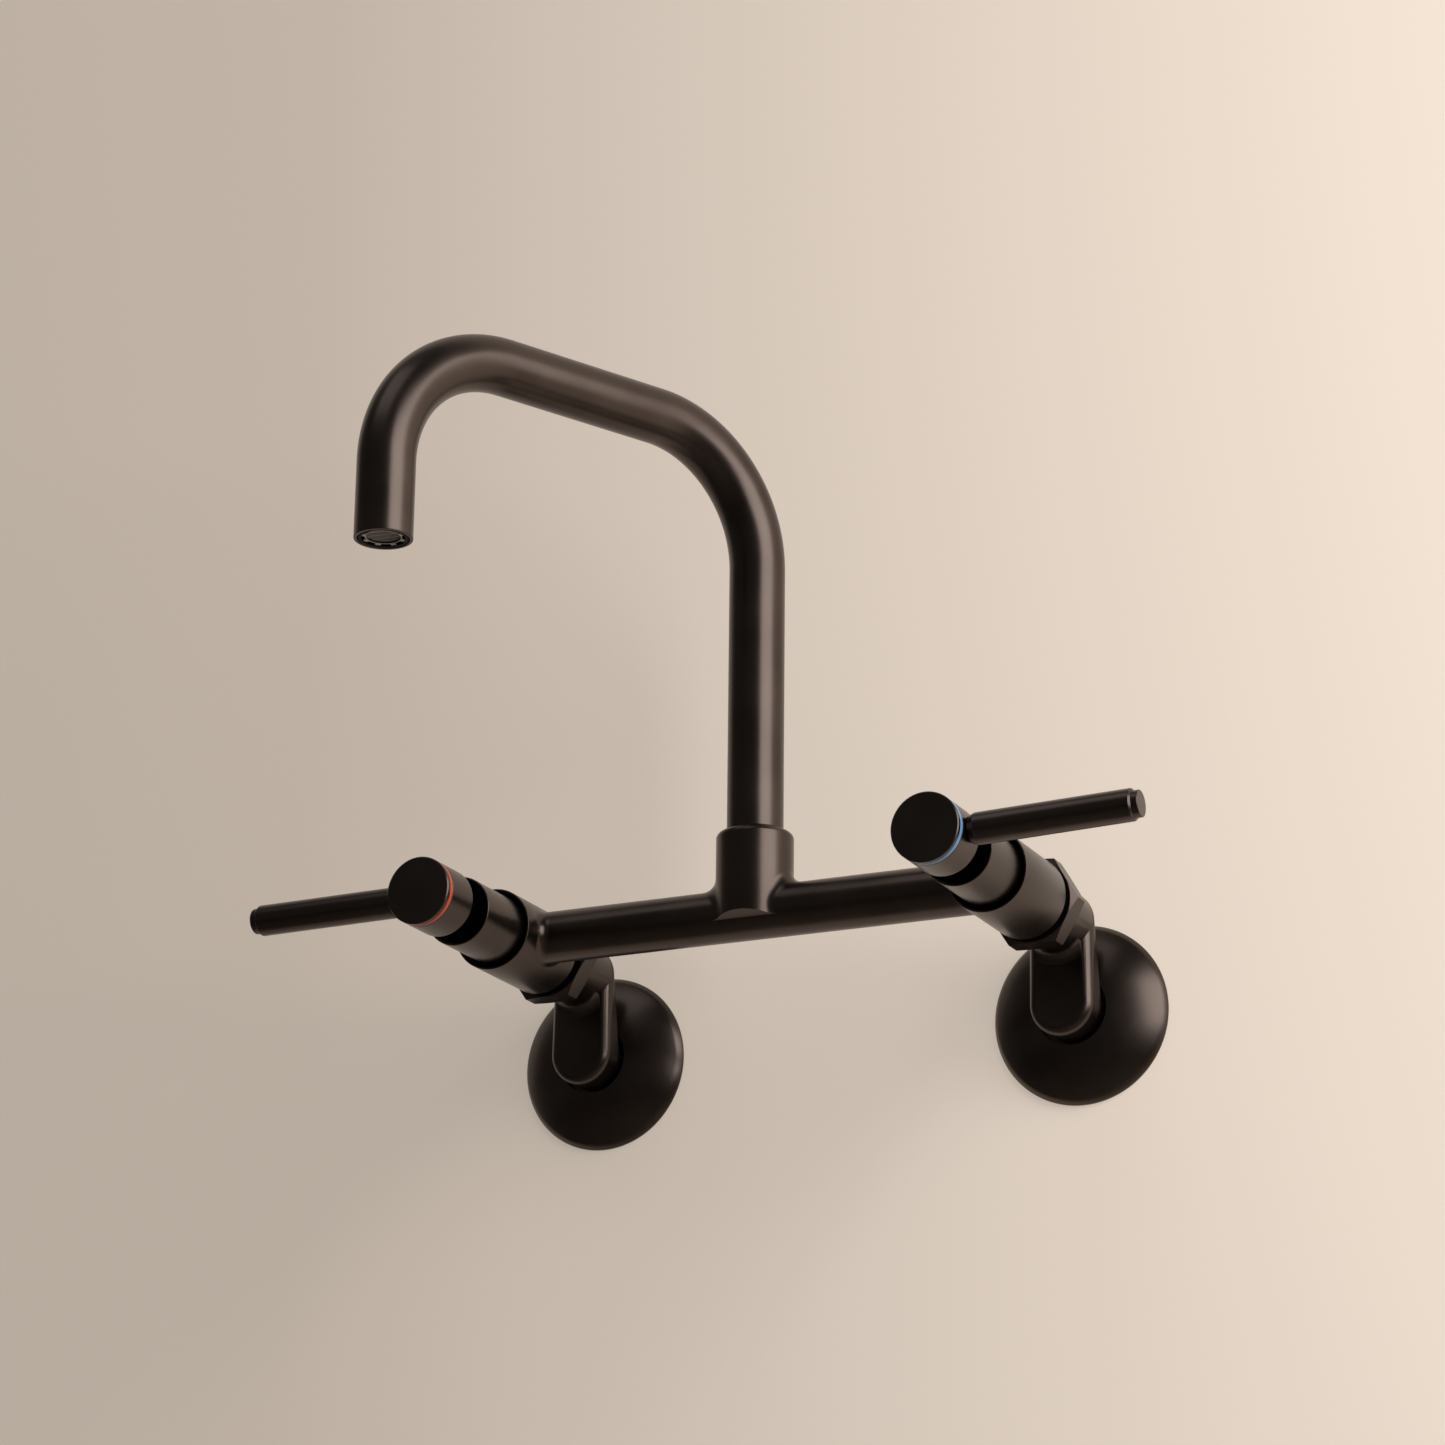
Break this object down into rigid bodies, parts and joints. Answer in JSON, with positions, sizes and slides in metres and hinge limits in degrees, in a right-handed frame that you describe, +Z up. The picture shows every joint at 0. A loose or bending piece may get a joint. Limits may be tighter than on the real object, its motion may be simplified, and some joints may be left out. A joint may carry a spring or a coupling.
{
  "type": "wall mounted two handle bridge faucet",
  "caption": "Wall-mounted bridge kitchen faucet with swing arms, quarter-turn lever handles, colour rings and a swivel hook spout, in dark bronze.",
  "frame": {"origin": "on the wall, midway between the two inlets", "axes": "+X to the right along the wall, +Y into the wall, +Z up; the faucet stands out along -Y"},
  "size_m": [0.3563, 0.2444, 0.2665],
  "materials": {
    "bronze": "dark oil-rubbed bronze, satin",
    "raw_brass": "turned, bare",
    "steel": "plain stainless",
    "ceramic": "lapped",
    "rubber": "matt black",
    "nylon": "natural",
    "dark_plastic": "matt dark",
    "screen_plastic": "grey",
    "red_ring": "red",
    "blue_ring": "light blue"
  },
  "bodies": {
    "bridge": {"bridge_body": "bronze", "spout_grub_screw": "steel", "hot_cartridge_shell": "raw_brass", "hot_seat_seal": "rubber", "hot_cartridge_o_ring": "rubber", "hot_fixed_disc": "ceramic", "hot_bonnet": "bronze", "cold_cartridge_shell": "raw_brass", "cold_seat_seal": "rubber", "cold_cartridge_o_ring": "rubber", "cold_fixed_disc": "ceramic", "cold_bonnet": "bronze"},
    "spout": {"spout_tube": "bronze", "spout_ferrule": "raw_brass", "spout_o_ring_lower": "rubber", "spout_o_ring_upper": "rubber", "spout_glide_washer": "nylon", "aerator_housing": "dark_plastic", "aerator_screen": "screen_plastic", "aerator_washer": "rubber"},
    "hot_handle": {"hot_hub": "bronze", "hot_lever": "bronze", "hot_index_ring": "red_ring", "hot_end_cap": "bronze", "hot_handle_screw": "steel", "hot_spindle": "raw_brass", "hot_moving_disc": "ceramic"},
    "hot_swing_arm": {"hot_arm": "bronze", "hot_flange": "bronze", "hot_flange_o_ring": "rubber", "hot_nut_snap_ring": "steel", "hot_union_washer": "rubber"},
    "hot_nut": {"hot_union_nut": "bronze"},
    "cold_handle": {"cold_hub": "bronze", "cold_lever": "bronze", "cold_index_ring": "blue_ring", "cold_end_cap": "bronze", "cold_handle_screw": "steel", "cold_spindle": "raw_brass", "cold_moving_disc": "ceramic"},
    "cold_swing_arm": {"cold_arm": "bronze", "cold_flange": "bronze", "cold_flange_o_ring": "rubber", "cold_nut_snap_ring": "steel", "cold_union_washer": "rubber"},
    "cold_nut": {"cold_union_nut": "bronze"}
  },
  "joints": [
    {"name": "spout_swivel", "type": "hinge", "parent": "bridge", "child": "spout", "pos_m": [0, -0.0778, 0.06], "axis": [0, 0, 1], "range_deg": [-63.94, 116.06]},
    {"name": "hot_handle_turn", "type": "hinge", "parent": "bridge", "child": "hot_handle", "pos_m": [-0.1016, -0.1448, 0.0313], "axis": [0, -1, 0], "range_deg": [0, 90]},
    {"name": "hot_arm_swing", "type": "hinge", "parent": "bridge", "child": "hot_swing_arm", "pos_m": [-0.1016, -0.049, 0.0313], "axis": [0, 1, 0], "continuous": true},
    {"name": "hot_nut_turn", "type": "hinge", "parent": "hot_swing_arm", "child": "hot_nut", "pos_m": [-0.1016, -0.0483, 0.0313], "axis": [0, 1, 0], "continuous": true},
    {"name": "cold_handle_turn", "type": "hinge", "parent": "bridge", "child": "cold_handle", "pos_m": [0.1016, -0.1448, 0.0313], "axis": [0, 1, 0], "range_deg": [0, 90]},
    {"name": "cold_arm_swing", "type": "hinge", "parent": "bridge", "child": "cold_swing_arm", "pos_m": [0.1016, -0.049, 0.0313], "axis": [0, 1, 0], "continuous": true},
    {"name": "cold_nut_turn", "type": "hinge", "parent": "cold_swing_arm", "child": "cold_nut", "pos_m": [0.1016, -0.0483, 0.0313], "axis": [0, 1, 0], "continuous": true}
  ]
}
